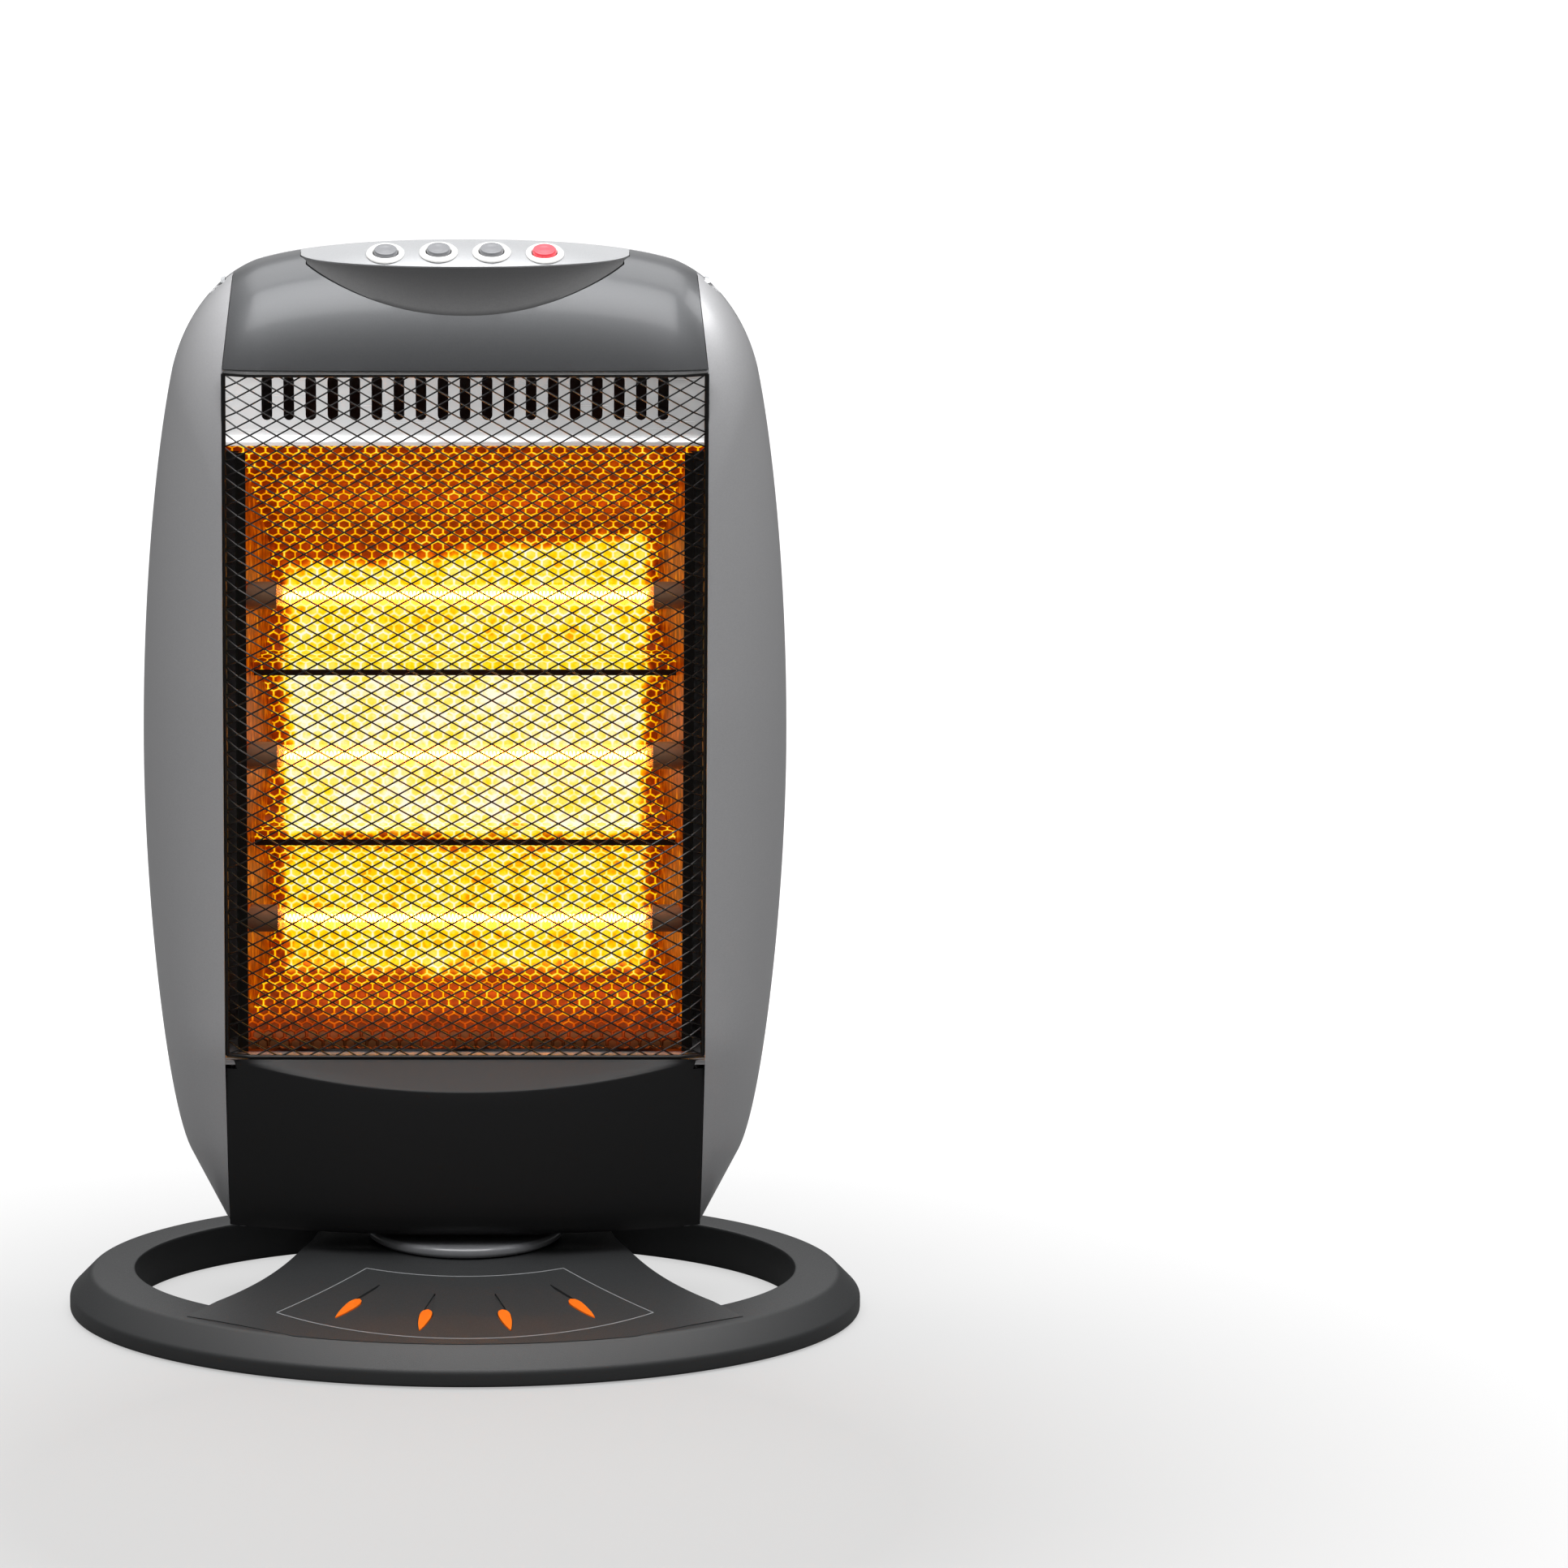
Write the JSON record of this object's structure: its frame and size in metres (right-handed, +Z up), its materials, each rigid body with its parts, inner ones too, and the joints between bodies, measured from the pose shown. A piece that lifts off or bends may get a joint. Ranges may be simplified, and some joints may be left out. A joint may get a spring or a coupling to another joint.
{
  "type": "halogen heater",
  "caption": "Upright halogen room heater: a rounded box head with glowing lamps before a polished reflector, behind a wire grille, swinging on an oval ring base",
  "frame": {"origin": "on the floor, under the middle of the oval base", "axes": "+Z up, +X to the right seen from the front, the heater faces -Y"},
  "size_m": [0.38, 0.4276, 0.5171],
  "materials": {
    "silver_paint": "metallic silver paint over moulded plastic",
    "gunmetal_paint": "dark metallic paint over moulded plastic",
    "pale_silver": "pale silver paint over moulded plastic",
    "dark_grey": "dark grey moulded plastic, matte",
    "black_plastic": "black moulded plastic, satin",
    "charcoal_plastic": "charcoal moulded plastic, fine texture",
    "white_plastic": "white moulded plastic",
    "grey_plastic": "grey moulded plastic",
    "red_plastic": "red moulded plastic",
    "orange_lens": "clear orange moulded plastic",
    "black_wire": "black enamelled steel",
    "polished_sheet": "polished and embossed sheet",
    "galvanised_steel": "galvanised sheet steel",
    "quartz": "quartz tube, glowing orange when lit",
    "ceramic": "fired steatite, unglazed",
    "chrome": "bright plated",
    "rubber": "black moulded rubber",
    "cord_rubber": "black flexible sheath"
  },
  "bodies": {
    "base": {"base_moulding": "charcoal_plastic", "base_plate": "charcoal_plastic", "rubber_foot_1": "rubber", "rubber_foot_2": "rubber", "rubber_foot_3": "rubber", "rubber_foot_4": "rubber", "accent_drop_1": "orange_lens", "accent_drop_2": "orange_lens", "accent_drop_3": "orange_lens", "accent_drop_4": "orange_lens", "swing_motor": "galvanised_steel", "tilt_switch": "black_plastic", "cord_gland": "cord_rubber", "supply_cord": "cord_rubber", "cord_coil": "cord_rubber", "cord_tail": "cord_rubber", "cord_tie": "black_plastic", "plug": "cord_rubber"},
    "motor_crank": {"motor_crank": "white_plastic"},
    "head": {"swivel_disc": "grey_plastic", "swing_yoke": "galvanised_steel", "front_shell": "silver_paint", "rear_shell": "silver_paint", "top_panel": "gunmetal_paint", "control_panel": "pale_silver", "control_crescent": "dark_grey", "bottom_panel": "black_plastic", "grille": "black_wire", "reflector": "polished_sheet", "lamp_bracket_left": "galvanised_steel", "lamp_bracket_right": "galvanised_steel", "lamp_tube_1": "quartz", "lamp_cap_left_1": "ceramic", "lamp_cap_right_1": "ceramic", "lamp_tube_2": "quartz", "lamp_cap_left_2": "ceramic", "lamp_cap_right_2": "ceramic", "lamp_tube_3": "quartz", "lamp_cap_left_3": "ceramic", "lamp_cap_right_3": "ceramic", "thermal_cutout": "galvanised_steel", "switch_block": "white_plastic", "rear_panel": "black_wire", "rear_screw_1": "chrome", "rear_screw_2": "chrome", "rear_screw_3": "chrome", "rear_screw_4": "chrome", "rear_screw_5": "chrome", "rear_screw_6": "chrome", "seam_screw_1": "chrome", "seam_screw_2": "chrome", "button_collar_1": "white_plastic", "button_collar_2": "white_plastic", "button_collar_3": "white_plastic", "button_collar_4": "white_plastic"},
    "button_1": {"button_1": "grey_plastic"},
    "button_2": {"button_2": "grey_plastic"},
    "button_3": {"button_3": "grey_plastic"},
    "button_4": {"button_4": "red_plastic"}
  },
  "joints": [
    {"name": "head_swivel", "type": "hinge", "parent": "base", "child": "head", "pos_m": [0, 0.003, 0.0385], "axis": [0, 0, 1], "range_deg": [-35, 35]},
    {"name": "crank_turn", "type": "hinge", "parent": "base", "child": "motor_crank", "pos_m": [0, 0.033, 0.027], "axis": [0, 0, 1], "range_deg": [-87.5, 87.5]},
    {"name": "button_1_press", "type": "slide", "parent": "head", "child": "button_1", "axis": [0, 0.342, -0.9397], "range_m": [0, 0.0025], "stiffness_N_per_m": 450, "springref_m": -0.0008},
    {"name": "button_2_press", "type": "slide", "parent": "head", "child": "button_2", "axis": [0, 0.342, -0.9397], "range_m": [0, 0.0025], "stiffness_N_per_m": 450, "springref_m": -0.0008},
    {"name": "button_3_press", "type": "slide", "parent": "head", "child": "button_3", "axis": [0, 0.342, -0.9397], "range_m": [0, 0.0025], "stiffness_N_per_m": 450, "springref_m": -0.0008},
    {"name": "button_4_press", "type": "slide", "parent": "head", "child": "button_4", "axis": [0, 0.342, -0.9397], "range_m": [0, 0.0025], "stiffness_N_per_m": 450, "springref_m": -0.0008}
  ],
  "couplings": [
    {"joint": "crank_turn", "follows": "head_swivel", "ratio": 2.5}
  ]
}
